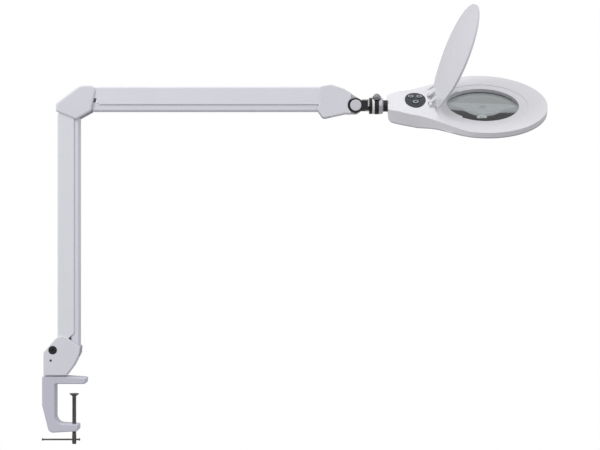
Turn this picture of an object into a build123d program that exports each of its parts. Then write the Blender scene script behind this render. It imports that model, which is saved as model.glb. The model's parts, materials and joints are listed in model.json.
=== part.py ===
from build123d import *
import os
from math import asin, cos, degrees, radians, sin, sqrt

# Clamp-on magnifying lamp, in millimetres.
# Origin: on the underside of the clamp's upper jaw (the table top), on the clamp screw's axis.
# +X runs along the upper arm to the head, +Y away from the control side, +Z up.

# ---------------------------------------------------------------- clamp
CLAMP_DEPTH = 36.0
JAW_TOP = 12.4
JAW_TIP_TOP = 9.8
SCREW_R = 3.5
SCREW_BOTTOM = -100.8
SCREW_TIP_R = 2.5
PAD_TOP = -16.8
PAD_R = 7.85
PAD_HEIGHT = 3.8
BAR_Z = -93.4
BAR_R = 1.4
BAR_X = (-53.6, 9.9)
RUN = 0.05  # radial clearance of a running fit

# ---------------------------------------------------------------- swivel
SWIVEL_X = -37.5
SPIGOT_R = 5.25
SPIGOT_Z = (-13.0, 36.0)
WASHER_Z = (12.45, 13.95)
KNUCKLE_BOTTOM = 14.0

# ---------------------------------------------------------------- arms
LINK = 394.0  # pivot to pivot, all four bars
COVER_HALF = 16.4  # outer channel, half depth across the arm
RAIL_HALF = 14.4  # inner channel, half depth
SHEET = 1.2
CORNER_R = 3.2
PIN_A_R = 3.0
PIN_B_R = 2.5
A1 = (-16.9, 62.5)
B1 = (2.6, 54.4)
A2 = (A1[0], A1[1] + LINK)
B2 = (B1[0], B1[1] + LINK)
A3 = (27.0, 480.5)
B3 = (24.0, 457.9)
A4 = (A3[0] + LINK, A3[1])
B4 = (B3[0] + LINK, B3[1])

# Arm sections, measured across the arm: A-row to the cover's web, the cover's height,
# B-row to the rail's web, and how far the rail's sides reach past the B row.
LOWER = {"web": 9.0, "cover": 27.4, "rail_web": 7.3, "rail_reach": 5.5}
UPPER = {"web": 10.5, "cover": 29.4, "rail_web": 7.6, "rail_reach": 7.0}

# ---------------------------------------------------------------- knuckles
KNUCKLE_HALF = 19.25
CHEEK = 2.55
CORE_HALF = 12.6

# ---------------------------------------------------------------- tilt and roll joint
TILT = (466.6, 460.0)
TONGUE_HALF = 9.8
TONGUE_R = 12.2
EAR_R = 12.4
EAR_Y = (10.1, 16.5)
ROLL_Z = 460.0
STUB_R = 5.0

# ---------------------------------------------------------------- head, flat before its roll
HEAD_ROLL = 30.0
HEAD_X = 519.8
LENS_X = 677.5
LENS_R = 63.5
OPENING_R = 60.0
RING_R = 107.0
RIM_Z = 4.4
HANDLE_BOTTOM = -15.8
END_R = 7.0  # rounding under the handle's end
RING_EDGE_Z = -5.6
RING_BOTTOM = -12.5
CROWN_R = 230.0
CROWN_TOP = 11.4
PARTING = 1.8  # height of the parting line above the underside
PANEL_X = 565.6
PANEL_FLOOR = 8.4
BUTTONS = {"button_left": (558.6, 13.0), "button_right": (572.6, 13.0), "button_front": (565.6, -8.0)}
DOT = (588.0, 6.0)
BOARD_Z = (0.4, 2.0)
LENS_Z = -5.4
LENS_EDGE = 2.4
LENS_FACE_R = 360.0
LED_COUNT = 48
HINGE_X = 590.5
HINGE_Z = 12.0
LID_ROLL = 68.0
LID_R = 85.0
LID_REACH = 92.0  # hinge axis to the middle of the lid's disc
LID_TAPER = 28.0
LID_ROOT = 7.0  # hinge axis to the lid's blunt end
LID_LOW = 4.9
LID_TOP = 13.0
LID_SKIN = 2.2
LID_DOME_R = 725.0

# ---------------------------------------------------------------- springs
SPRING_A = 62.0  # cover anchor, from the A row's base pivot
SPRING_B = 240.0  # rail anchor, from the B row's base pivot
ANCHOR_R = 2.0


# ================================================================ helpers
def outline(corners):
    """Closed outline from (x, z, corner radius) corners, as a face."""
    points = [(c[0], c[1]) for c in corners]
    radii = [c[2] for c in corners]
    return make_face(FilletPolyline(*points, radius=radii, close=True))


def slab(face, y0, y1):
    """Extrude a face drawn in X and Z from y0 to y1."""
    return extrude(Plane.XZ.offset(-y1) * face, y1 - y0)


def both(shape):
    """A shape and its mirror image across the Y = 0 plane."""
    return shape + mirror(shape, Plane.XZ)


def rod_y(x, z, radius, y0, y1):
    return Pos(x, (y0 + y1) / 2, z) * Rot(90, 0, 0) * Cylinder(radius, y1 - y0)


def rod_x(radius, x0, x1, y=0.0, z=0.0):
    return Pos((x0 + x1) / 2, y, z) * Rot(0, 90, 0) * Cylinder(radius, x1 - x0)


def rod_z(x, y, radius, z0, z1):
    return Pos(x, y, (z0 + z1) / 2) * Cylinder(radius, z1 - z0)


def block(x0, x1, y0, y1, z0, z1):
    return Pos((x0 + x1) / 2, (y0 + y1) / 2, (z0 + z1) / 2) * Box(x1 - x0, y1 - y0, z1 - z0)


def hull_2(center_a, radius_a, center_b, radius_b):
    """Face of two discs joined by their outer tangents."""
    discs = Pos(*center_a) * Circle(radius_a) + Pos(*center_b) * Circle(radius_b)
    return make_hull(discs.edges())


def save(name, shape):
    solids = shape.solids()
    whole = solids[0] if len(solids) == 1 else Compound(solids)
    export_step(whole, f"parts/{name}.step")


# ================================================================ clamp
def clamp_frame():
    frame = slab(
        outline(
            [
                (-51.15, JAW_TOP, 2.0),
                (-14.0, JAW_TOP, 12.0),
                (21.6, JAW_TIP_TOP, 2.5),
                (20.4, 0.0, 2.5),
                (-29.7, 0.0, 2.0),
                (-29.7, -65.0, 13.0),
                (8.3, -67.3, 2.0),
                (8.3, -77.9, 3.5),
                (-39.6, -80.8, 9.0),
                (-51.15, -34.6, 5.0),
            ]
        ),
        -CLAMP_DEPTH / 2,
        CLAMP_DEPTH / 2,
    )
    sides = frame.faces().filter_by(Axis.Y).edges()
    frame = chamfer(sides, 1.6)
    frame -= rod_z(SWIVEL_X, 0, SPIGOT_R + RUN, SPIGOT_Z[0] - 1.0, JAW_TOP + 1)
    return frame - rod_z(0, 0, SCREW_R + RUN, -90.0, -60.0)


def pressure_pad():
    low = PAD_TOP - PAD_HEIGHT
    profile = Polyline(
        (0, PAD_TOP),
        (PAD_R - 0.4, PAD_TOP),
        (PAD_R, PAD_TOP - 0.4),
        (PAD_R, PAD_TOP - 1.1),
        (4.6, low),
        (SCREW_TIP_R + RUN, low),
        (SCREW_TIP_R + RUN, low + 2.4),
        (0, low + 2.4),
        close=True,
    )
    return revolve(Plane.XZ * make_face(profile), Axis.Z)


def clamp_screw():
    shoulder = PAD_TOP - PAD_HEIGHT - 0.2
    screw = rod_z(0, 0, SCREW_R, SCREW_BOTTOM, shoulder)
    screw = chamfer(screw.edges().group_by(Axis.Z)[0], 0.8)
    screw += rod_z(0, 0, SCREW_TIP_R, shoulder, shoulder + 2.5)
    return screw - rod_x(BAR_R + RUN, -10, 10, z=BAR_Z)


def tommy_bar():
    bar = rod_x(BAR_R, BAR_X[0], BAR_X[1], z=BAR_Z)
    for start, end in ((BAR_X[0], BAR_X[0] + 2.2), (BAR_X[1] - 2.2, BAR_X[1])):
        head = rod_x(2.0, start, end, z=BAR_Z)
        bar += fillet(head.edges(), 0.6)
    return bar


# ================================================================ knuckle covers
def knuckle_half(face, opening, shoulder_r):
    """Front half of a hollow cover: a cheek and a rim, the rim cut away where the arms leave."""
    shell = slab(face, -KNUCKLE_HALF, 0)
    front = shell.faces().sort_by(Axis.Y)[0]
    shell = fillet(front.edges(), shoulder_r)
    inner = offset(face, -CHEEK, kind=Kind.INTERSECTION)
    shell -= slab(inner, -KNUCKLE_HALF + CHEEK, 1)
    return shell - slab(opening, -KNUCKLE_HALF + CHEEK, 1)


def base_face():
    return outline(
        [
            (-48.7, KNUCKLE_BOTTOM, 1.5),
            (-48.7, 52.4, 5.0),
            (-20.6, 84.6, 16.0),
            (11.9, 61.3, 3.0),
            (10.9, 50.0, 12.0),
            (0.6, 29.5, 30.0),
            (-11.2, KNUCKLE_BOTTOM, 1.5),
        ]
    )


BASE_OPENING = [
    (-33.0, 80.0, 0),
    (-33.0, 66.0, 0),
    (0, 45.0, 0),
    (20.0, 45.0, 0),
    (20.0, 95.0, 0),
    (-33.0, 95.0, 0),
]


def base_cover():
    cover = knuckle_half(base_face(), outline(BASE_OPENING), 1.8)
    cover -= rod_z(SWIVEL_X, 0, SPIGOT_R + 2.0, 0, 30)
    cover -= rod_y(-33.2, 55.9, 7.1, -20, -17.6)
    cover -= rod_y(-33.2, 55.9, 4.05, -20, 0)
    return cover - rod_y(-36.5, 38.8, 2.05, -20, 0)


def base_core_face():
    foot = outline(
        [
            (-45.9, 16.9, 3.0),
            (-14.5, 16.9, 4.0),
            (-6.0, 30.0, 20.0),
            (-12.0, 50.0, 10.0),
            (-30.0, 66.0, 6.0),
            (-45.9, 51.0, 6.0),
        ]
    )
    bosses = hull_2(A1, 8.0, (-33.2, 52.0), 8.0) + hull_2(A1, 7.5, B1, 6.5)
    return foot + bosses + hull_2(B1, 6.5, (-16, 30), 8.0)


def base_core():
    core = slab(base_core_face(), -CORE_HALF, CORE_HALF)
    core -= rod_z(SWIVEL_X, 0, SPIGOT_R, 10, SPIGOT_Z[1])
    core -= rod_y(*A1, PIN_A_R, -20, 20)
    core -= rod_y(*B1, PIN_B_R, -20, 20)
    core -= rod_y(-33.2, 55.9, 4.05, -20, 20)
    return core - rod_y(-36.5, 38.8, 2.0, -20, 0)


def swivel_spigot():
    spigot = rod_z(SWIVEL_X, 0, SPIGOT_R, *SPIGOT_Z)
    spigot = chamfer(spigot.edges().group_by(Axis.Z)[0], 1.0)
    collar = rod_z(SWIVEL_X, 0, SPIGOT_R + 1.9, KNUCKLE_BOTTOM, 16.8)
    return spigot + collar


def swivel_washer():
    washer = rod_z(SWIVEL_X, 0, 11.0, *WASHER_Z)
    return washer - rod_z(SWIVEL_X, 0, SPIGOT_R + RUN, 10, 16)


def socket_screw(x, z, head_r, head_y, shank_r, shank_end, socket_af):
    """Cap screw along Y, its head's outer face at head_y[0]."""
    screw = rod_y(x, z, head_r, *head_y)
    screw = chamfer(screw.edges().group_by(Axis.Y)[0], 0.6)
    screw += rod_y(x, z, shank_r, head_y[1], shank_end)
    hexagon = Plane.XZ.offset(-head_y[0] - 3.0) * Pos(x, z) * RegularPolygon(socket_af / sqrt(3), 6)
    return screw - extrude(hexagon, 5)


def knuckle_screw():
    return socket_screw(-33.2, 55.9, 7.0, (-19.6, -17.6), 4.0, 17.0, 5.0)


def knuckle_nut():
    nut = Plane.XZ.offset(-KNUCKLE_HALF - 0.35) * Pos(-33.2, 55.9) * RegularPolygon(7.0, 6)
    return extrude(nut, 2.0) - rod_y(-33.2, 55.9, 4.0, 10, 20)


def set_screw():
    screw = rod_y(-36.5, 38.8, 2.0, -18.6, -SPIGOT_R - 0.05)
    hexagon = Plane.XZ.offset(16.6) * Pos(-36.5, 38.8) * RegularPolygon(1.2, 6)
    return screw - extrude(hexagon, 3)


# ================================================================ elbow
def elbow_face():
    return outline(
        [
            (-28.5, 463.4, 9.0),
            (-28.5, 449.6, 3.0),
            (5.0, 435.9, 3.0),
            (30.4, 450.0, 3.5),
            (40.0, 493.4, 10.5),
            (11.8, 493.8, 22.0),
        ]
    )


ELBOW_OPENING = [
    (-40.0, 430.0, 0),
    (50.0, 430.0, 0),
    (50.0, 500.0, 0),
    (15.0, 500.0, 0),
    (15.0, 476.0, 0),
    (-21.5, 452.0, 0),
    (-21.5, 459.5, 0),
    (-40.0, 459.5, 0),
]


ELBOW_SCREW = (4.5, 470.5)


def elbow_cover():
    cover = knuckle_half(elbow_face(), outline(ELBOW_OPENING), 4.0)
    cover += rod_y(*ELBOW_SCREW, 4.0, -17.5, -CORE_HALF)
    return cover - rod_y(*ELBOW_SCREW, 1.55, -18.5, 0)


def elbow_core():
    arms = hull_2(A2, 7.5, B2, 6.3) + hull_2(A3, 7.5, B3, 6.3)
    web = hull_2(A2, 7.5, ELBOW_SCREW, 7.5) + hull_2(ELBOW_SCREW, 7.5, A3, 7.5) + hull_2(B2, 6.3, B3, 6.3)
    infill = make_face(Polyline(A2, ELBOW_SCREW, A3, B3, B2, close=True))
    core = slab(arms + web + infill, -CORE_HALF, CORE_HALF)
    for pivot, radius in ((A2, PIN_A_R), (B2, PIN_B_R), (A3, PIN_A_R), (B3, PIN_B_R)):
        core -= rod_y(*pivot, radius, -20, 20)
    return core - rod_y(*ELBOW_SCREW, 1.5, -20, 20)


# ================================================================ head-end knuckle
def head_knuckle_face():
    return outline(
        [
            (406.8, 491.0, 4.0),
            (425.0, 494.6, 8.0),
            (447.0, 487.6, 4.0),
            (469.2, 473.5, 6.0),
            (482.0, 460.0, 14.0),
            (469.0, 446.0, 6.0),
            (450.0, 446.6, 10.0),
            (413.0, 438.6, 6.0),
            (403.2, 452.5, 6.0),
            (406.8, 464.0, 8.0),
        ]
    )


HEAD_OPENING = [
    (395.0, 430.0, 0),
    (412.0, 430.0, 0),
    (433.0, 449.0, 0),
    (433.0, 470.0, 0),
    (436.0, 500.0, 0),
    (395.0, 500.0, 0),
]


def tongue_face():
    return hull_2(TILT, TONGUE_R, (444.0, 464.0), 19.0)


def head_knuckle_cover():
    """Front half: full depth over the arm's end, a narrow tongue at the tilt axis."""
    wide = slab(head_knuckle_face(), -KNUCKLE_HALF, 0)
    wide -= rod_y(*TILT, EAR_R + 0.7, -25, -TONGUE_HALF)
    wide -= block(459.0, 500, -25, -TONGUE_HALF, 430, 500)
    front = wide.faces().filter_by(Axis.Y).sort_by(Axis.Y)[0]
    wide = fillet(front.edges(), 1.8)
    tongue = slab(head_knuckle_face() & tongue_face(), -TONGUE_HALF, 0)
    disc = rod_y(*TILT, TONGUE_R, -TONGUE_HALF, 0)
    cover = wide - rod_y(*TILT, EAR_R + 0.7, -TONGUE_HALF, 1) + tongue + disc
    cover -= block(482.0, 500, -25, 1, 430, 500)
    inner = offset(head_knuckle_face(), -CHEEK, kind=Kind.INTERSECTION)
    room = slab(inner, -KNUCKLE_HALF + CHEEK, 1) & block(400, 449.0, -25, 1, 430, 500)
    cover -= room
    cover -= slab(outline(HEAD_OPENING), -KNUCKLE_HALF + CHEEK, 1)
    return cover - rod_y(*TILT, 6.0, -25, 1)


def head_core():
    shape = hull_2(A4, 7.5, B4, 6.3) + hull_2(A4, 7.5, (439.0, 472.0), 8.0)
    shape += hull_2(B4, 6.3, (439.0, 458.0), 6.0)
    shape += make_face(Polyline(A4, (439.0, 472.0), (439.0, 458.0), B4, close=True))
    core = slab(shape, -CORE_HALF, CORE_HALF)
    core -= rod_y(*A4, PIN_A_R, -20, 20)
    core -= rod_y(*B4, PIN_B_R, -20, 20)
    return core - rod_y(438.0, 465.0, 1.5, -20, 20)


def tilt_bush():
    return rod_y(*TILT, 6.0, -TONGUE_HALF, TONGUE_HALF) - rod_y(*TILT, 4.0, -20, 20)


def tilt_washers():
    washer = rod_y(*TILT, 11.0, -EAR_Y[0], -TONGUE_HALF) - rod_y(*TILT, 4.0, -20, 20)
    return both(washer)


def tilt_bolt():
    return rod_y(*TILT, 3.95, -EAR_Y[1] - 0.5, EAR_Y[1] + 0.5)


def tilt_cap():
    """White front cap: a shallow dome on a short plug."""
    cap = rod_y(*TILT, 9.3, -20.2, -EAR_Y[1])
    cap = fillet(cap.edges().group_by(Axis.Y)[0], 1.6)
    return cap - rod_y(*TILT, 3.95, -EAR_Y[1] - 0.5, 0)


def tilt_fork():
    """Black fork: two round ears, side arms and a cross block that carries the roll stub."""
    ear = rod_y(*TILT, EAR_R, -EAR_Y[1], -EAR_Y[0])
    ear = chamfer(ear.edges().group_by(Axis.Y)[0], 0.8)
    arm = block(TILT[0], 489.0, -EAR_Y[1], -EAR_Y[0], 452.0, 468.0)
    ear = ear + arm - rod_y(*TILT, 3.95, -25, 0)
    cross = block(482.6, 489.0, -EAR_Y[1], EAR_Y[1], 452.0, 468.0)
    return both(ear) + cross - rod_x(STUB_R, 484.0, 500.0, z=ROLL_Z)


def fork_plate():
    """Bent steel plate over the fork, with a tab down each side."""
    top = block(477.0, 489.0, -17.6, 17.6, 468.1, 470.1)
    tab = block(486.6, 489.0, -17.6, -EAR_Y[1], 458.0, 468.1)
    return top + both(tab) - rod_y(*TILT, TONGUE_R + 0.8, -EAR_Y[0], EAR_Y[0])


def roll_stub():
    return rod_x(STUB_R, 484.0, 511.0, z=ROLL_Z)


def roll_flange():
    flange = rod_x(13.6, 489.0, 494.2, z=ROLL_Z)
    flange = chamfer(flange.edges().group_by(Axis.X)[0], 1.0)
    return flange - rod_x(STUB_R, 480, 500, z=ROLL_Z)


def roll_washer():
    return rod_x(13.4, 494.2, 498.1, z=ROLL_Z) - rod_x(STUB_R, 480, 500, z=ROLL_Z)


# ================================================================ head (built flat about the roll axis)
def rolled(shape):
    """Turn a flat-built head piece about the roll axis to its rest angle."""
    return Pos(0, 0, ROLL_Z) * Rot(HEAD_ROLL, 0, 0) * shape


def roll_collar():
    """Knurled clamp collar, split along one side."""
    collar = rod_x(14.0, 498.4, 505.0)
    notch = Pos(501.7, 14.6, 0) * Rot(0, 90, 0) * Cylinder(1.0, 8.0)
    for step in range(24):
        collar -= Rot(step * 15.0 + 7.5, 0, 0) * notch
    collar -= rod_x(STUB_R + RUN, 490, 520)
    collar -= rod_z(501.7, 0, 3.0, 4.0, 20.0)
    return collar - block(490, 520, -20, -4, -1.9, -1.1)


def collar_cap():
    cap = rod_x(13.6, 505.0, 512.3)
    cap = chamfer(cap.edges().group_by(Axis.X)[-1], 2.2)
    return cap - rod_x(STUB_R + RUN, 490, 511.2)


def collar_screw():
    shank = rod_z(501.7, 0, 2.95, 5.2, 14.5)
    nut = extrude(Plane.XY.offset(14.1) * Pos(501.7, 0) * RegularPolygon(7.4, 6), 3.2)
    dome = Pos(501.7, 0, 16.3) * Sphere(5.8) & block(490, 515, -10, 10, 16.3, 30)
    return shank + nut + dome


def head_neck():
    """Black casting between the collar and the head, with a foot inside the handle."""
    neck = rod_x(9.6, 512.3, HEAD_X)
    neck += block(HEAD_X, HEAD_X + 4.6, -9.0, 9.0, -8.0, -2.0)
    foot = block(HEAD_X + 4.55, HEAD_X + 8.0, -22.0, 22.0, -11.0, -1.6)
    return neck + foot


def plan_face():
    """The head seen along its normal: a round lens end and a flared handle."""
    flare = [(HEAD_X + 4.0, 29.0), (545.0, 40.8), (565.0, 49.2), (590.0, 64.0), (614.0, 80.6), (640.0, 98.2)]
    meet = (LENS_X - 24.0, sqrt(RING_R**2 - 24.0**2))
    slope = (meet[1], 24.0)
    near = [
        Spline(*flare, meet, tangents=[(1, 0.75), slope]),
        ThreePointArc((HEAD_X, 24.0), (HEAD_X + 1.2, 26.8), flare[0]),
    ]
    far = [edge for part in near for edge in mirror(part, Plane.XZ).edges()]
    tip = ThreePointArc(meet, (LENS_X + RING_R, 0), (meet[0], -meet[1]))
    end = Line((HEAD_X, -24.0), (HEAD_X, 24.0))
    return make_face(near + far + [tip, end])


def side_slab(lift, raise_under):
    """Side view of the flat head, extruded across it; the top is lifted and the underside raised."""
    x0 = HEAD_X - 1
    rim = RIM_Z + lift
    edge = RING_EDGE_Z + raise_under
    low = HANDLE_BOTTOM + raise_under
    top = Spline(
        (x0, 1.2 + lift), (545, 6.2 + lift), (580, 7.4 + lift), (620, 5.4 + lift), (655, rim),
        tangents=[(1, 0.35), (1, 0)],
    )
    rise = [(x, z + raise_under) for x, z in ((625, -7.2), (604, -8.5), (588, -10.9))]
    under = Spline((655, edge), *rise, (566, low), tangents=[(-1, 0), (-1, -0.1)])
    rest = [
        Line((655, rim), (800, rim)),
        Line((800, rim), (800, edge)),
        Line((800, edge), (655, edge)),
        Line((566, low), (x0, low)),
        Line((x0, low), (x0, 1.2 + lift)),
    ]
    return slab(make_face([top, under] + rest), -130, 130)


def ring(points):
    """Solid of revolution about the lens axis from (radius, z) points."""
    face = Plane.XZ * make_face(Polyline(*points, close=True))
    return Pos(LENS_X, 0, 0) * revolve(face, Axis.Z)


def tube(r0, r1, z0, z1):
    return ring([(r0, z0), (r1, z0), (r1, z1), (r0, z1)])


def lid_face(grow=0.0):
    """Lens lid seen along its normal: a disc drawn in to a blunt hinge end."""
    center = (HINGE_X + LID_REACH, 0)
    turn = radians(LID_TAPER)
    touch = (center[0] - LID_R * sin(turn), LID_R * cos(turn))
    root_x = HINGE_X + LID_ROOT
    root_y = touch[1] - (touch[0] - root_x) * sin(turn) / cos(turn)
    root = Polyline(touch, (root_x, root_y), (root_x, -root_y), (touch[0], -touch[1]))
    tip = ThreePointArc((touch[0], -touch[1]), (center[0] + LID_R, 0), touch)
    face = make_face([*root.edges(), *tip.edges()])
    corners = face.vertices().filter_by(lambda v: v.X < root_x + 1)
    face = fillet(corners, 36.0)
    return offset(face, grow) if grow else face


def crown():
    """The handle's raised crown, ending around the lid's hinge end."""
    body = extrude(plan_face(), 20)
    barrel = Pos(600, 0, CROWN_TOP - CROWN_R) * Rot(0, 90, 0) * Cylinder(CROWN_R, 400)
    rise = Pos(590, 0, CROWN_TOP - 500) * Rot(90, 0, 0) * Cylinder(500, 400)
    body = body & barrel & rise
    body -= rod_z(LENS_X, 0, 86.0, RIM_Z, 30)
    return body - extrude(Plane.XY.offset(RIM_Z) * lid_face(1.0), 30) - block(640, 800, -120, 120, -1, 30)


def head_body():
    """The whole outside of the head, before it is hollowed and parted."""
    prism = extrude(Plane.XY.offset(-30) * plan_face(), 60) & side_slab(0, 0)
    cone = Pos(LENS_X, 0, (RING_EDGE_Z + RING_BOTTOM) / 2) * Cone(93.5, 104.5, RING_EDGE_Z - RING_BOTTOM)
    body = prism + cone
    body -= ring([(0, 2.2), (74.6, 2.2), (75.2, 3.0), (100.5, RIM_Z), (100.5, 40), (0, 40)])
    low = HANDLE_BOTTOM + END_R
    heel = block(HEAD_X - 1, HEAD_X + END_R, -40, 40, HANDLE_BOTTOM - 1, low)
    heel -= rod_y(HEAD_X + END_R, low, END_R, -41, 41)
    return body + crown() - heel


def above_parting():
    return side_slab(60, PARTING)


def cavity():
    """Room inside the top shell: the handle and the lamp ring."""
    plan = [(HEAD_X + 4.5, 25.0), (545.0, 36.5), (565.0, 44.5), (598.0, 62.5)]
    mirrored = [(x, -y) for x, y in reversed(plan)]
    handle = extrude(Plane.XY.offset(-30) * make_face(Polyline(*plan, *mirrored, close=True)), 60)
    ceiling = [(HEAD_X + 4.5, -0.8), (545.0, 3.0), (560.0, 4.6), (580.0, 4.6), (598.0, 4.0)]
    side = Polyline((HEAD_X + 4.5, -30), *ceiling, (598.0, -30), close=True)
    handle &= slab(make_face(side), -70, 70)
    lamp = ring([(67.0, -30), (98.0, -30), (98.0, 1.4), (94.0, 1.4), (92.0, -0.3), (67.0, -0.3)])
    return handle + lamp


def hinge_lugs():
    lug = rod_y(HINGE_X, HINGE_Z, 3.4, -25.0, -19.0)
    lug += block(HINGE_X - 3.4, HINGE_X + 3.4, -25.0, -19.0, 2.6, HINGE_Z)
    return both(lug)


SCREW_PLACES = [(534.0, 21.0), (534.0, -21.0), (588.0, 52.0), (588.0, -52.0)] + [
    (LENS_X + 99.5 * cos(radians(a)), 99.5 * sin(radians(a))) for a in (-75, 0, 75)
]


def screw_seat(x):
    """Height of the screw head's inner face under the bottom cover."""
    return -14.6 if x < 560 else -9.7 if x < 600 else -5.6


def head_top_shell():
    shell = head_body() & above_parting()
    shell -= cavity()
    for x, y in SCREW_PLACES:
        post = rod_z(x, y, 3.4, -20, 8.0) & side_slab(-1.0, PARTING)
        shell += post
    for x, y in ((547.0, 18.0), (547.0, -18.0), (579.0, 18.0), (579.0, -18.0)):
        shell += rod_z(x, y, 2.2, BOARD_Z[1], 6.0)
    shell += tube(63.8, 67.0, -10.3, 0)
    shell -= rod_z(LENS_X, 0, OPENING_R, -40, 40)
    shell -= rod_z(LENS_X, 0, LENS_R + 0.25, -40, -3.5)
    pocket = extrude(Plane.XY.offset(PANEL_FLOOR) * Pos(PANEL_X, 1.5) * Ellipse(17.3, 28.6), 20)
    shell -= pocket
    shell -= both(block(HINGE_X - 4.2, HINGE_X + 6, -18.8, -8.6, 5.0, 30))
    shell += hinge_lugs()
    shell -= rod_y(HINGE_X, HINGE_Z, 1.5, -30, 30)
    for x, y in SCREW_PLACES:
        shell -= rod_z(x, y, 1.4, -20, -1.0)
    shell -= block(HEAD_X - 1, HEAD_X + 6, -9.0, 9.0, -8.0, -2.0)
    return shell - rod_z(*DOT, 1.5, 6.0, 30)


def head_bottom_cover():
    cover = head_body() - above_parting()
    cover -= ring([(0, -40), (90.0, -40), (90.0, -10.4), (92.0, -10.4), (95.5, -3.0), (0, -3.0)])
    for x, y in SCREW_PLACES:
        seat = screw_seat(x)
        cover -= rod_z(x, y, 2.8, -30, seat) + rod_z(x, y, 1.6, -30, 0)
    return cover


def housing_screws():
    screws = []
    for x, y in SCREW_PLACES:
        seat = screw_seat(x)
        cross = block(x - 1.8, x + 1.8, y - 0.35, y + 0.35, -30, seat - 0.4)
        cross += block(x - 0.35, x + 0.35, y - 1.8, y + 1.8, -30, seat - 0.4)
        screw = rod_z(x, y, 2.6, seat - 1.2, seat) + rod_z(x, y, 1.4, seat, -1.1)
        screws.append(screw - cross)
    return Compound([s for screw in screws for s in screw.solids()])


def lens():
    """Biconvex glass, about three dioptres."""
    reach = sqrt(LENS_FACE_R**2 - LENS_R**2)
    half = LENS_EDGE / 2
    low = Pos(LENS_X, 0, LENS_Z - half + reach) * Sphere(LENS_FACE_R)
    high = Pos(LENS_X, 0, LENS_Z + half - reach) * Sphere(LENS_FACE_R)
    return rod_z(LENS_X, 0, LENS_R, LENS_Z - 10, LENS_Z + 10) & low & high


def lens_ring():
    return ring([(60.6, -12.4), (67.9, -12.4), (67.9, -10.4), (63.6, -10.4), (63.6, -7.2), (60.6, -7.2)])


def light_diffuser():
    return tube(68.1, 89.8, -12.4, -10.3) + tube(67.3, 91.6, -10.35, -9.3)


def led_board():
    return tube(69.0, 91.0, -1.9, -0.3)


def led_chips():
    chips = []
    for step in range(LED_COUNT):
        place = Pos(LENS_X, 0, 0) * Rot(0, 0, step * 360 / LED_COUNT) * Pos(80, 0, -2.4)
        chips.append(place * Box(2.8, 3.5, 1.0))
    return Compound([s for chip in chips for s in chip.solids()])


def control_board():
    return block(543, 583, -22, 22, *BOARD_Z)


def panel_barrel(lift):
    return Pos(600, 0, CROWN_TOP - CROWN_R + lift) * Rot(0, 90, 0) * Cylinder(CROWN_R, 400)


def control_panel():
    panel = extrude(Plane.XY.offset(PANEL_FLOOR) * Pos(PANEL_X, 1.5) * Ellipse(17.1, 28.4), 10)
    panel &= panel_barrel(0.1)
    for place in BUTTONS.values():
        panel -= extrude(Plane.XY.offset(0) * Pos(*place) * Ellipse(5.55, 8.25), 30)
    return panel


def button(place):
    key = extrude(Plane.XY.offset(PANEL_FLOOR + 0.8) * Pos(*place) * Ellipse(5.3, 8.0), 10)
    return key & panel_barrel(0.7)


def indicator():
    return rod_z(*DOT, 1.5, 6.0, 10.9)


def lid():
    """Domed lens lid, modelled shut."""
    dome_z = LID_TOP - LID_DOME_R
    center_x = HINGE_X + LID_REACH
    outer = extrude(Plane.XY.offset(LID_LOW) * lid_face(), 30) & Pos(center_x, 0, dome_z) * Sphere(LID_DOME_R)
    inner = extrude(Plane.XY.offset(0) * lid_face(-LID_SKIN), 40)
    inner &= Pos(center_x, 0, dome_z - LID_SKIN) * Sphere(LID_DOME_R)
    shell = outer - inner
    root = (HINGE_X + LID_ROOT + 5.0, LID_LOW + 2.2)
    shell += both(slab(hull_2((HINGE_X, HINGE_Z), 3.0, root, 1.8), -18.4, -9.0))
    shell -= rod_y(HINGE_X, HINGE_Z, 1.55, -30, 30)
    return shell


def opened(shape):
    return Pos(HINGE_X, 0, HINGE_Z) * Rot(0, -LID_ROLL, 0) * Pos(-HINGE_X, 0, -HINGE_Z) * shape


def lid_pin():
    return rod_y(HINGE_X, HINGE_Z, 1.5, -25.4, 25.4)


# ================================================================ arms (A row at the origin, along +X)
def channel(half, top, bottom, length):
    """U channel open downward: outside half width, web at the top, sides down to bottom."""
    height = top - bottom + CORNER_R
    outer = Pos(0, top - height / 2) * RectangleRounded(2 * half, height, CORNER_R)
    inner = Pos(0, top - height / 2 - SHEET) * RectangleRounded(2 * (half - SHEET), height, CORNER_R - SHEET)
    bar = extrude(Plane.YZ.offset(-20) * (outer - inner), length + 40)
    return bar & block(-30, length + 30, -30, 30, bottom, top + 5)


def stadium(x0, x1, z, radius):
    return hull_2((x0, z), radius, (x1, z), radius)


def arm_cover(arm, corner):
    """Outer channel; corner is where its free lower corner is cut at the base end."""
    low = arm["web"] - arm["cover"]
    body = outline(
        [
            (11.5, arm["web"] + 2, 0),
            (LINK - 11.5, arm["web"] + 2, 0),
            (LINK - 11.5, low, 2.5),
            (corner[0], low, 3.0),
            (corner[1], corner[2], 3.0),
            (11.5, corner[2] + 4.0, 0),
        ]
    )
    tongue = arm["web"] - 1.6
    body += stadium(0, 30, 0, tongue) + stadium(LINK - 30, LINK, 0, tongue)
    cover = channel(COVER_HALF, arm["web"], low, LINK) & slab(body, -30, 30)
    for x in (0, LINK):
        cover -= rod_y(x, 0, PIN_A_R + RUN, -30, 30)
    return cover


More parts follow.
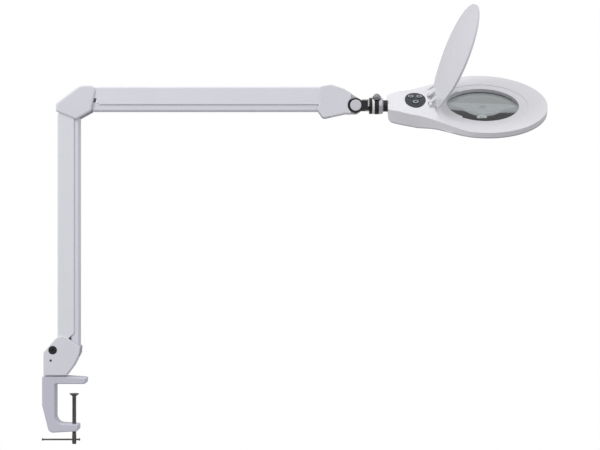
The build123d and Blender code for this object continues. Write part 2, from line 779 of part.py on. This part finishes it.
def arm_rail(arm, start):
    """Inner channel with the B row at the origin, open upward; start is where its web begins."""
    turned = Rot(180, 0, 0)
    rail = turned * channel(RAIL_HALF, arm["rail_web"], -arm["rail_reach"], LINK)
    body = outline(
        [
            (start, -arm["rail_web"] - 2, 0),
            (LINK - 9.0, -arm["rail_web"] - 2, 0),
            (LINK - 9.0, arm["rail_reach"], 1.0),
            (start, arm["rail_reach"], 1.0),
        ]
    )
    body += stadium(0, 20, 0, 5.4) + stadium(LINK - 20, LINK, 0, 5.4)
    rail &= slab(body, -30, 30)
    rail -= rod_y(0, 0, PIN_B_R + RUN, -30, 30)
    rail -= rod_y(LINK, 0, PIN_B_R + 0.2, -30, 30)
    return rail


def arm_springs(offset_b):
    """Two closed-wound springs from the cover's anchor to the rail's anchor."""
    start = Vector(SPRING_A, 0, 0)
    end = Vector(SPRING_B + offset_b[0], 0, offset_b[1])
    length = (end - start).length
    tilt = degrees(asin((end.Z - start.Z) / length))
    coil = rod_x(5.0, 16, length - 16) - rod_x(3.6, 17, length - 17)
    for x, toward in ((0, 1), (length, -1)):
        eye = Pos(x, 0, 0) * Rot(90, 0, 0) * Torus(ANCHOR_R + 0.95, 0.7)
        stem = rod_x(0.7, *sorted((x + toward * (ANCHOR_R + 0.9), x + toward * 16.5)))
        coil += eye + stem
    coil = Pos(start) * Rot(0, -tilt, 0) * coil
    return Compound([s for y in (-6.2, 6.2) for s in (Pos(0, y, 0) * coil).solids()])


def upright(shape):
    """Stand an arm piece up on the lower arm's base pivot."""
    return Pos(A1[0], 0, A1[1]) * Rot(0, -90, 0) * shape


def level(shape):
    return Pos(A3[0], 0, A3[1]) * shape


def across(x, z, radius, half):
    return rod_y(x, z, radius, -half, half)



if __name__ == "__main__":
    os.makedirs("parts", exist_ok=True)
    save("clamp_frame", clamp_frame())
    save("pressure_pad", pressure_pad())
    save("clamp_screw", clamp_screw())
    save("tommy_bar", tommy_bar())
    knuckles = {"base": base_cover(), "elbow": elbow_cover(), "head_knuckle": head_knuckle_cover()}
    for name, half in knuckles.items():
        save(f"{name}_cover_front", half)
        save(f"{name}_cover_back", mirror(half, Plane.XZ))
    save("base_core", base_core())
    save("swivel_spigot", swivel_spigot())
    save("swivel_washer", swivel_washer())
    save("knuckle_screw", knuckle_screw())
    save("knuckle_nut", knuckle_nut())
    save("set_screw", set_screw())
    save("elbow_core", elbow_core())
    save("head_core", head_core())
    save("tilt_bush", tilt_bush())
    save("tilt_washers", tilt_washers())
    save("tilt_bolt", tilt_bolt())
    save("tilt_caps", both(tilt_cap()))
    save("tilt_fork", tilt_fork())
    save("fork_plate", fork_plate())
    save("roll_stub", roll_stub())
    save("roll_flange", roll_flange())
    save("roll_washer", roll_washer())
    save("base_pins", across(*A1, PIN_A_R, 16.5) + across(*B1, PIN_B_R, 14.9))
    elbow_pins = [across(*A2, PIN_A_R, 16.5), across(*B2, PIN_B_R, 14.9)]
    elbow_pins += [across(*A3, PIN_A_R, 16.5), across(*B3, PIN_B_R, 14.9)]
    save("elbow_pins", Compound([pin.solid() for pin in elbow_pins]))
    save("head_pins", across(*A4, PIN_A_R, 16.5) + across(*B4, PIN_B_R, 14.9))
    for name, arm, corner, start, place, a, b in (
        ("lower", LOWER, (21.5, 12.5, -9.0), 5.0, upright, A1, B1),
        ("upper", UPPER, (16.6, 11.4, -13.6), 8.5, level, A3, B3),
    ):
        gap = Vector(b[0] - a[0], 0, b[1] - a[1])
        if place is upright:
            gap = Vector(gap.Z, 0, -gap.X)
        save(f"{name}_arm_cover", place(arm_cover(arm, corner)))
        save(f"{name}_arm_rail", place(Pos(gap) * arm_rail(arm, start)))
        save(f"{name}_springs", place(arm_springs((gap.X, gap.Z))))
        save(f"{name}_cover_anchor", place(across(SPRING_A, 0, ANCHOR_R, COVER_HALF - SHEET)))
        save(f"{name}_rail_anchor", place(Pos(gap) * across(SPRING_B, 0, ANCHOR_R, RAIL_HALF - SHEET)))
    head_pieces = {
        "roll_collar": roll_collar(),
        "collar_cap": collar_cap(),
        "collar_screw": collar_screw(),
        "head_neck": head_neck(),
        "head_top_shell": head_top_shell(),
        "head_bottom_cover": head_bottom_cover(),
        "housing_screws": housing_screws(),
        "lens": lens(),
        "lens_ring": lens_ring(),
        "light_diffuser": light_diffuser(),
        "led_board": led_board(),
        "led_chips": led_chips(),
        "control_board": control_board(),
        "control_panel": control_panel(),
        "indicator": indicator(),
        "lid": opened(lid()),
        "lid_pin": lid_pin(),
    }
    for name, place in BUTTONS.items():
        head_pieces[name] = button(place)
    for name, piece in head_pieces.items():
        save(name, rolled(piece))
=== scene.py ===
import json
from math import ceil, cos, radians, sin, tau

import bmesh
import bpy
from mathutils import Matrix, Vector


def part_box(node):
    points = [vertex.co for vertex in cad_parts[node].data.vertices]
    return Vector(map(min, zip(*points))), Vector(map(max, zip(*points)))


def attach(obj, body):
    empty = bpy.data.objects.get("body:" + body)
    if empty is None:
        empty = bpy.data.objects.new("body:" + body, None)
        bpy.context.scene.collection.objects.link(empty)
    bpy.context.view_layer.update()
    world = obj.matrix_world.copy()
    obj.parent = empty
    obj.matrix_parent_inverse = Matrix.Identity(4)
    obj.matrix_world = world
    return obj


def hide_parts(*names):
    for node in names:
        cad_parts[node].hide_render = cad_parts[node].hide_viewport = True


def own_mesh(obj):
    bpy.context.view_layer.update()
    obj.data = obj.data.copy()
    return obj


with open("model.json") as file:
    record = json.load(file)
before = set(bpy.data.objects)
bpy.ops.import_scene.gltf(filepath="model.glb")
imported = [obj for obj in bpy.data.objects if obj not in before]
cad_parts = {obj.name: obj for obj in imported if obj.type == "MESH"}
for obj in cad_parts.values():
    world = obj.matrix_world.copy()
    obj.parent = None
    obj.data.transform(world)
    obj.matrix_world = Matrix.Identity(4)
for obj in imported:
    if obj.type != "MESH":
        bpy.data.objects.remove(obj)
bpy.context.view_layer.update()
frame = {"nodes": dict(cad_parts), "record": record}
NODES = frame["nodes"]
BODY_OF = {n: body for body, ns in frame["record"]["behaviour"]["bodies"].items() for n in ns}
SLOT_OF = {s["node"]: s["material_slot"] for s in frame["record"]["subparts"]}
MM = 0.001

# The head is built flat, then turned about the roll axis.
HEAD_ROLL = radians(30)
ROLL_Z = 0.460
HEAD_FRAME = Matrix.Translation((0, 0, ROLL_Z)) @ Matrix.Rotation(HEAD_ROLL, 4, "X")


# ---------------------------------------------------------------- materials
def add(tree, kind, **values):
    """A node with its input sockets or attributes set; a (node, socket) pair links instead."""
    node = tree.nodes.new(kind)
    for key, value in values.items():
        if hasattr(node, key):
            setattr(node, key, value)
            continue
        socket = node.inputs[key.replace("_", " ")]
        if isinstance(value, tuple) and hasattr(value[0], "bl_idname"):
            tree.links.new(value[0].outputs[value[1]], socket)
        else:
            socket.default_value = value
    return node


def rgba(color):
    return (*color, 1.0)


def shades(color, spread):
    dark = tuple(c * (1 - spread) for c in color)
    light = tuple(min(1.0, c * (1 + spread)) for c in color)
    return rgba(dark), rgba(light)


def surface(name, color, rough, metal=0.0, grain=900, bump=0.10, cloud=25, spread=0.03,
            stretch=(1, 1, 1), coat=0.0, sheen_rough=0.06, transmission=0.0, ior=1.5, subsurface=0.0):
    """Colour clouding, a fine grain in the relief and uneven gloss, in object space."""
    mat = bpy.data.materials.new(name)
    mat.use_nodes = True
    tree = mat.node_tree
    tree.nodes.clear()
    place = add(tree, "ShaderNodeTexCoord")
    drawn = add(tree, "ShaderNodeMapping", Vector=(place, "Object"), Scale=stretch)
    cloudy = add(tree, "ShaderNodeTexNoise", Vector=(drawn, 0), Scale=cloud, Detail=4.0, Roughness=0.55)
    low, high = shades(color, spread)
    tint = tree.nodes.new("ShaderNodeMix")
    tint.data_type = "RGBA"
    tint.inputs[6].default_value = low
    tint.inputs[7].default_value = high
    tree.links.new(cloudy.outputs["Fac"], tint.inputs[0])
    fine = add(tree, "ShaderNodeTexNoise", Vector=(drawn, 0), Scale=grain, Detail=3.0, Roughness=0.6)
    relief = add(tree, "ShaderNodeBump", Height=(fine, "Fac"), Strength=bump, Distance=0.0002)
    gloss = add(tree, "ShaderNodeMapRange", Value=(fine, "Fac"))
    gloss.inputs["To Min"].default_value = max(0.0, rough - sheen_rough)
    gloss.inputs["To Max"].default_value = rough + sheen_rough
    shader = add(tree, "ShaderNodeBsdfPrincipled", Metallic=metal, IOR=ior)
    shader.inputs["Coat Weight"].default_value = coat
    shader.inputs["Coat Roughness"].default_value = 0.12
    shader.inputs["Transmission Weight"].default_value = transmission
    shader.inputs["Subsurface Weight"].default_value = subsurface
    shader.inputs["Subsurface Radius"].default_value = (0.002, 0.002, 0.0018)
    tree.links.new(tint.outputs[2], shader.inputs["Base Color"])
    tree.links.new(gloss.outputs[0], shader.inputs["Roughness"])
    tree.links.new(relief.outputs[0], shader.inputs["Normal"])
    out = add(tree, "ShaderNodeOutputMaterial")
    tree.links.new(shader.outputs[0], out.inputs[0])
    return mat


LOOKS = {
    "clamp_paint": dict(color=(0.60, 0.60, 0.68), rough=0.38, grain=700, bump=0.25, coat=0.15),
    "arm_paint": dict(color=(0.78, 0.79, 0.83), rough=0.34, grain=800, bump=0.16, coat=0.2),
    "rail_paint": dict(color=(0.75, 0.76, 0.82), rough=0.36, grain=800, bump=0.16, coat=0.2),
    "knuckle_plastic": dict(color=(0.74, 0.745, 0.79), rough=0.42, grain=1200, bump=0.22),
    "core_plastic": dict(color=(0.42, 0.43, 0.46), rough=0.5, grain=1000, bump=0.3),
    "white_plastic": dict(
        color=(0.74, 0.74, 0.765), rough=0.3, grain=1400, bump=0.06, spread=0.012, coat=0.25
    ),
    "gloss_white": dict(color=(0.63, 0.63, 0.67), rough=0.26, grain=1300, bump=0.05, spread=0.015, coat=0.3),
    "grey_plastic": dict(color=(0.30, 0.30, 0.34), rough=0.4, grain=1100, bump=0.15),
    "panel_plastic": dict(color=(0.018, 0.024, 0.030), rough=0.5, grain=1500, bump=0.05, spread=0.15),
    "button_plastic": dict(color=(0.022, 0.029, 0.036), rough=0.5, grain=1500, bump=0.08, spread=0.12),
    "black_metal": dict(color=(0.006, 0.006, 0.007), rough=0.2, grain=900, bump=0.08, spread=0.25),
    "steel": dict(color=(0.62, 0.62, 0.63), rough=0.24, metal=1.0, grain=500, bump=0.08, stretch=(1, 6, 1)),
    "dark_steel": dict(color=(0.16, 0.145, 0.13), rough=0.36, metal=0.9, grain=600, bump=0.2, spread=0.25),
    "spring_steel": dict(color=(0.45, 0.45, 0.47), rough=0.3, metal=1.0, grain=700, bump=0.1, spread=0.1),
    "nylon": dict(color=(0.88, 0.88, 0.86), rough=0.45, grain=900, bump=0.1, subsurface=0.1),
    "bronze": dict(color=(0.45, 0.32, 0.16), rough=0.4, metal=1.0, grain=1500, bump=0.3, spread=0.15),
    # Lens: its own faint green tint, darkened to grey as painted shade for the dim surround seen through the
    # glass.
    "lens_glass": dict(color=(0.50, 0.54, 0.535), rough=0.012, grain=60, bump=0.0, sheen_rough=0.008,
                       transmission=1.0, ior=1.52, spread=0.01),
    "diffuser": dict(color=(0.86, 0.88, 0.90), rough=0.5, grain=1500, bump=0.25, subsurface=0.2),
    "board_white": dict(color=(0.75, 0.77, 0.76), rough=0.35, grain=400, bump=0.05),
    "board_green": dict(color=(0.02, 0.16, 0.08), rough=0.3, grain=400, bump=0.1, spread=0.2),
    "led": dict(color=(0.85, 0.72, 0.22), rough=0.25, grain=2500, bump=0.1, spread=0.08),
    "indicator_lens": dict(color=(0.07, 0.11, 0.12), rough=0.12, grain=900, bump=0.02, spread=0.2, coat=0.5),
}
MATERIALS = {slot: surface(slot, **look) for slot, look in LOOKS.items()}
# Looks for pieces that differ from their slot's own.
EXTRA_LOOKS = {
    "black_screw": dict(color=(0.012, 0.012, 0.013), rough=0.35, grain=900, bump=0.15, spread=0.3),
    "icon_ink": dict(color=(0.62, 0.66, 0.70), rough=0.4, grain=2500, bump=0.1, spread=0.1),
    # Bottom cover: a mid grey, darker than its own plastic, as painted shade for the shadow line along the
    # head's lower edge.
    "painted_shade_edge": dict(color=(0.42, 0.42, 0.45), rough=0.45, grain=1100, bump=0.12),
    "bore_black": dict(color=(0.010, 0.016, 0.016), rough=0.25, grain=1100, bump=0.08, spread=0.2),
    # Dome nut chrome, darkened: painted shade for the dim surroundings its mirror face reflects.
    "chrome_painted_dim": dict(color=(0.34, 0.34, 0.35), rough=0.14, metal=1.0, grain=500, bump=0.05),
}
MATERIALS |= {name: surface(name, **look) for name, look in EXTRA_LOOKS.items()}


# ---------------------------------------------------------------- mesh helpers
def piece(name, verts, faces, look, body, smooth=45):
    mesh = bpy.data.meshes.new(name)
    mesh.from_pydata([tuple(v) for v in verts], [], faces)
    return finish_piece(mesh, name, look, body, smooth)


def finish_piece(mesh, name, look, body, smooth=45):
    mesh.validate()
    mesh.shade_smooth()
    mesh.set_sharp_from_angle(angle=radians(smooth))
    mesh.materials.clear()
    mesh.materials.append(MATERIALS[look])
    obj = bpy.data.objects.new(name, mesh)
    bpy.context.scene.collection.objects.link(obj)
    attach(obj, body)
    return obj


def tidy_copy(node):
    """The CAD node's mesh as a bmesh, with coplanar triangles joined into whole faces."""
    bm = bmesh.new()
    bm.from_mesh(NODES[node].data)
    bmesh.ops.remove_doubles(bm, verts=bm.verts, dist=1e-6)
    bmesh.ops.dissolve_limit(
        bm, angle_limit=radians(0.1), use_dissolve_boundaries=False, verts=bm.verts, edges=bm.edges
    )
    return bm


def modified(obj):
    """Applies obj's modifiers to its mesh."""
    graph = bpy.context.evaluated_depsgraph_get()
    mesh = bpy.data.meshes.new_from_object(obj.evaluated_get(graph))
    obj.modifiers.clear()
    obj.data = mesh
    return obj


def eased(node, width, look=None):
    """Stands for a CAD node, with its sharp edges broken by a small radius."""
    bm = tidy_copy(node)
    mesh = bpy.data.meshes.new(node)
    bm.to_mesh(mesh)
    bm.free()
    obj = finish_piece(mesh, node + "_shown", look or SLOT_OF[node], BODY_OF[node])
    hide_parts(node)
    bevel = obj.modifiers.new("ease", "BEVEL")
    bevel.width = width
    bevel.segments = 2
    bevel.limit_method = "ANGLE"
    bevel.angle_limit = radians(40)
    bevel.use_clamp_overlap = False
    bevel.harden_normals = True
    flat = obj.modifiers.new("flat", "WEIGHTED_NORMAL")
    flat.keep_sharp = True
    return modified(obj)


def tube(points, radius, sides=8):
    """A round bar along points, as (verts, faces), its frame carried along without twist."""
    verts, faces = [], []
    ahead = (points[1] - points[0]).normalized()
    normal = ahead.orthogonal().normalized()
    for i, p in enumerate(points):
        step = (points[min(i + 1, len(points) - 1)] - points[max(i - 1, 0)]).normalized()
        normal = (normal - step * normal.dot(step)).normalized()
        side = step.cross(normal)
        for k in range(sides):
            a = tau * k / sides
            verts.append(p + (normal * cos(a) + side * sin(a)) * radius)
    for i in range(len(points) - 1):
        for k in range(sides):
            a, b = i * sides + k, i * sides + (k + 1) % sides
            faces.append((a, b, b + sides, a + sides))
    last = (len(points) - 1) * sides
    faces.append(tuple(reversed(range(sides))))
    faces.append(tuple(range(last, last + sides)))
    return verts, faces


# ---------------------------------------------------------------- clamp screw
def threaded_rod():
    """Clamp screw: rolled thread above a plain cross-drilled end."""
    plain_top, thread_top = -0.0845, -0.0215
    outer, depth, pitch = 3.5 * MM, 0.55 * MM, 1.25 * MM
    sides, per_pitch = 36, 8
    rows = ceil((thread_top - plain_top) / pitch * per_pitch)
    verts, faces = [], []
    for row in range(rows + 1):
        z = plain_top + (thread_top - plain_top) * row / rows
        fade = min(1.0, row / per_pitch, (rows - row) / per_pitch)
        for k in range(sides):
            phase = (z / pitch - k / sides) % 1.0
            cut = abs(2 * phase - 1)
            r = outer - depth * fade * cut - (1 - fade) * 0.3 * MM
            a = tau * k / sides
            verts.append((r * cos(a), r * sin(a), z))
    for row in range(rows):
        for k in range(sides):
            a, b = row * sides + k, row * sides + (k + 1) % sides
            faces.append((a, b, b + sides, a + sides))
    faces.append(tuple(reversed(range(sides))))
    faces.append(tuple(range(rows * sides, (rows + 1) * sides)))
    thread = piece("clamp_screw_thread", verts, faces, "dark_steel", "screw", smooth=60)
    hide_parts("clamp_screw")
    for name, keep_below, z in (("clamp_screw_end", True, plain_top), ("clamp_screw_tip", False, thread_top)):
        bm = tidy_copy("clamp_screw")
        cut = bmesh.ops.bisect_plane(
            bm, geom=bm.verts[:] + bm.edges[:] + bm.faces[:], plane_co=(0, 0, z), plane_no=(0, 0, 1),
            clear_outer=keep_below, clear_inner=not keep_below,
        )
        rim = [e for e in cut["geom_cut"] if isinstance(e, bmesh.types.BMEdge)]
        bmesh.ops.holes_fill(bm, edges=rim)
        mesh = bpy.data.meshes.new(name)
        bm.to_mesh(mesh)
        bm.free()
        finish_piece(mesh, name, "dark_steel", "screw")


# ---------------------------------------------------------------- arm springs
def coil(start, end, wire=0.7 * MM, radius=4.3 * MM, turns=58):
    """One wire: a hook round the start anchor, a close helix, and a hook round the end anchor."""
    axis = (end - start).normalized()
    length = (end - start).length
    up = axis.cross(Vector((0, 1, 0))).normalized()
    side = Vector((0, 1, 0))
    eye, lead = 2.95 * MM, 14 * MM
    points = []
    for k in range(13):
        a = radians(-60 + 290 * k / 12)
        points.append(start - axis * eye * cos(a) + up * eye * sin(a))
    steps = turns * 12
    for k in range(steps + 1):
        a = tau * k / 12
        s = lead + (length - 2 * lead) * k / steps
        grow = min(1.0, (k + 2) / 12, (steps - k + 2) / 12)
        points.append(start + axis * s + (up * cos(a) + side * sin(a)) * radius * grow)
    for k in range(13):
        a = radians(230 - 290 * k / 12)
        points.append(end + axis * eye * cos(a) - up * eye * sin(a))
    return tube(points, wire, 6)


def arm_springs(arm):
    """Both springs, each coiled between the cover's anchor and the rail's anchor."""
    anchors = []
    for node in (f"{arm}_cover_anchor", f"{arm}_rail_anchor"):
        low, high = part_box(node)
        anchors.append((low + high) / 2)
    for name, y in (("front", -6.2 * MM), ("back", 6.2 * MM)):
        shift = Vector((0, y, 0))
        verts, faces = coil(anchors[0] + shift, anchors[1] + shift)
        spring = piece(f"{arm}_spring_{name}", verts, faces, "spring_steel", f"{arm}_outer", smooth=80)
        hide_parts(f"{arm}_springs")
        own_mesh(spring)


# ---------------------------------------------------------------- head details
def flat_height(node, x, y):
    """Height of a head node's top over (x, y) in the flat head frame."""
    obj = NODES[node]
    start = HEAD_FRAME @ Vector((x, y, 0.05))
    down = HEAD_FRAME.to_3x3() @ Vector((0, 0, -1))
    hit, where, _, _ = obj.ray_cast(start, down)
    return (HEAD_FRAME.inverted() @ where).z if hit else 0.0


def laid_ring(name, node, middle, radii, proud, sunk, steps, look, body):
    """A thin ring that follows the top of a head node; middle is its (x, y) in the flat head frame."""
    verts, faces = [], []
    rows = len(radii)
    for i in range(steps):
        a = tau * i / steps
        for level in (-1, 1):
            for k, r in enumerate(radii):
                x, y = middle[0] + r * cos(a), middle[1] + r * sin(a)
                z = flat_height(node, x, y)
                edge = 0.4 if k in (0, rows - 1) else 1.0
                verts.append(HEAD_FRAME @ Vector((x, y, z + (proud * edge if level > 0 else -sunk))))
    for i in range(steps):
        a, b = i * 2 * rows, (i + 1) % steps * 2 * rows
        loop = list(range(rows)) + list(range(2 * rows - 1, rows - 1, -1))
        for k, low in enumerate(loop):
            high = loop[(k + 1) % len(loop)]
            faces.append((a + low, b + low, b + high, a + high))
    return piece(name, verts, faces, look, body, smooth=40)


def icon_ring(button, radius, width):
    """A raised printed ring on a button's key top."""
    low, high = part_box(button)
    middle = HEAD_FRAME.inverted() @ ((low + high) / 2)
    radii = (radius - width, radius - 0.7 * width, radius - 0.3 * width, radius)
    laid_ring(
        button + "_ring", button, middle.xy, radii, proud=0.12 * MM, sunk=0.2 * MM, steps=40,
        look="icon_ink", body=button,
    )


# ---------------------------------------------------------------- build
LOOK_OF = {
    "knuckle_screw": "black_screw",
    # The bottom cover takes a grey that paints the shade along the head's lower edge.
    "head_bottom_cover": "painted_shade_edge",
    "lens_ring": "bore_black",
    # The dome nut takes a chrome darkened as painted shade for what it reflects.
    "collar_screw": "chrome_painted_dim",
}
# Width in millimetres of the small radius that breaks each piece's edges.
EASED = {
    "pressure_pad": 0.3, "tommy_bar": 0.15, "base_core": 0.4, "elbow_core": 0.4, "head_core": 0.4,
    "knuckle_screw": 0.3, "knuckle_nut": 0.3, "lower_arm_cover": 0.25, "upper_arm_cover": 0.25,
    "lower_arm_rail": 0.25, "upper_arm_rail": 0.25, "base_cover_front": 0.3, "base_cover_back": 0.3,
    "elbow_cover_front": 0.3, "elbow_cover_back": 0.3,
    "head_knuckle_cover_front": 0.3, "head_knuckle_cover_back": 0.3,
    "tilt_fork": 0.5, "tilt_caps": 0.3, "tilt_washers": 0.12, "fork_plate": 0.25,
    "roll_flange": 0.3, "roll_washer": 0.4, "roll_collar": 0.2, "collar_cap": 0.3,
    "collar_screw": 0.3, "head_neck": 0.5, "control_panel": 0.25, "lens_ring": 0.3,
    "light_diffuser": 0.3, "led_board": 0.2, "housing_screws": 0.15, "swivel_washer": 0.2,
    "button_left": 0.5, "button_right": 0.5, "button_front": 0.5, "indicator": 0.2,
}
ICON_R = 4.5 * MM
ICON_LINE = 1.0 * MM
# Across each arm at rest, and the share of the springs' depth left at the joint's longer limit.
SPRING_DRAW = {"lower": ((1, 0, 0), 0.44), "upper": ((0, 0, 1), 0.5)}
CAD_SHARP = radians(35)

threaded_rod()
for arm, (across, keep) in SPRING_DRAW.items():
    arm_springs(arm)
for button in ("button_left", "button_right", "button_front"):
    icon_ring(button, ICON_R, ICON_LINE)
for node, width in EASED.items():
    eased(node, width * MM, LOOK_OF.get(node))
for node, obj in NODES.items():
    obj.data.materials.clear()
    obj.data.materials.append(MATERIALS[LOOK_OF.get(node, SLOT_OF[node])])
    obj.data.shade_smooth()
    obj.data.set_sharp_from_angle(angle=CAD_SHARP)


# ---------------------------------------------------------------- stage, light and camera
FLOOR_FELT = (0.45, 0.45, 0.46)
SKY_AXIS = (-0.35, -0.35, 0.87)
SKY_DARK = (0.62, 0.62, 0.64)
SKY_LIGHT = (1.0, 1.0, 1.02)


def seen_or_felt(tree, seen, felt):
    """Emission that shows one grey to the camera and lends another to the object."""
    ray = add(tree, "ShaderNodeLightPath")
    bright = add(tree, "ShaderNodeEmission", Color=rgba(seen), Strength=1.0)
    soft = add(tree, "ShaderNodeEmission", Color=rgba(felt), Strength=1.0)
    mix = tree.nodes.new("ShaderNodeMixShader")
    tree.links.new(ray.outputs["Is Camera Ray"], mix.inputs[0])
    tree.links.new(soft.outputs[0], mix.inputs[1])
    tree.links.new(bright.outputs[0], mix.inputs[2])
    return mix


def stage():
    """Pale floor far below the clamp, so that nothing of the lamp falls on it."""
    size, z = 40.0, -0.76
    mesh = bpy.data.meshes.new("floor")
    corners = [(-size, -size, z), (size, -size, z), (size, size, z), (-size, size, z)]
    mesh.from_pydata(corners, [], [(0, 1, 2, 3)])
    mat = bpy.data.materials.new("floor_white")
    mat.use_nodes = True
    tree = mat.node_tree
    tree.nodes.clear()
    mix = seen_or_felt(tree, (1.0, 1.0, 1.0), FLOOR_FELT)
    tree.links.new(mix.outputs[0], add(tree, "ShaderNodeOutputMaterial").inputs[0])
    mesh.materials.append(mat)
    floor = bpy.data.objects.new("floor", mesh)
    bpy.context.scene.collection.objects.link(floor)


def area_light(name, place, aim, size, power):
    data = bpy.data.lights.new(name, "AREA")
    data.shape = "RECTANGLE"
    data.size, data.size_y = size
    data.energy = power
    light = bpy.data.objects.new(name, data)
    light.location = place
    light.visible_glossy = False
    light.visible_transmission = False
    light.rotation_mode = "QUATERNION"
    light.rotation_quaternion = (Vector(aim) - Vector(place)).to_track_quat("-Z", "Y")
    bpy.context.scene.collection.objects.link(light)


def sky():
    """White studio: brighter overhead and to the left, darker to the right and low down."""
    world = bpy.data.worlds.new("studio")
    bpy.context.scene.world = world
    world.use_nodes = True
    tree = world.node_tree
    tree.nodes.clear()
    place = add(tree, "ShaderNodeTexCoord")
    lean = add(tree, "ShaderNodeVectorMath", operation="DOT_PRODUCT")
    tree.links.new(place.outputs["Generated"], lean.inputs[0])
    lean.inputs[1].default_value = SKY_AXIS
    ramp = add(tree, "ShaderNodeValToRGB")
    tree.links.new(lean.outputs["Value"], ramp.inputs[0])
    for stop, (at, grey) in zip(ramp.color_ramp.elements, ((0.0, SKY_DARK), (1.0, SKY_LIGHT))):
        stop.position = at
        stop.color = rgba(grey)
    ray = add(tree, "ShaderNodeLightPath")
    felt = add(tree, "ShaderNodeBackground", Strength=1.0)
    tree.links.new(ramp.outputs[0], felt.inputs[0])
    seen = add(tree, "ShaderNodeBackground", Strength=1.0)
    seen.inputs[0].default_value = (1, 1, 1, 1)
    mix = tree.nodes.new("ShaderNodeMixShader")
    tree.links.new(ray.outputs["Is Camera Ray"], mix.inputs[0])
    tree.links.new(felt.outputs[0], mix.inputs[1])
    tree.links.new(seen.outputs[0], mix.inputs[2])
    tree.links.new(mix.outputs[0], add(tree, "ShaderNodeOutputWorld").inputs[0])


def camera():
    data = bpy.data.cameras.new("camera")
    data.lens = 109.1
    data.sensor_width = 36.0
    data.clip_end = 100
    cam = bpy.data.objects.new("camera", data)
    cam.location = (0.3746, -3.017, 0.2624)
    cam.rotation_euler = (radians(90), 0, 0)
    bpy.context.scene.collection.objects.link(cam)
    bpy.context.scene.camera = cam


stage()
sky()
area_light("key", place=(-1.3, -1.5, 2.2), aim=(0.35, 0, 0.35), size=(1.2, 1.2), power=24)
area_light("top", place=(0.3, 0.1, 2.4), aim=(0.4, 0, 0.3), size=(2.4, 1.2), power=5)
camera()
bpy.context.scene.view_settings.view_transform = "Standard"
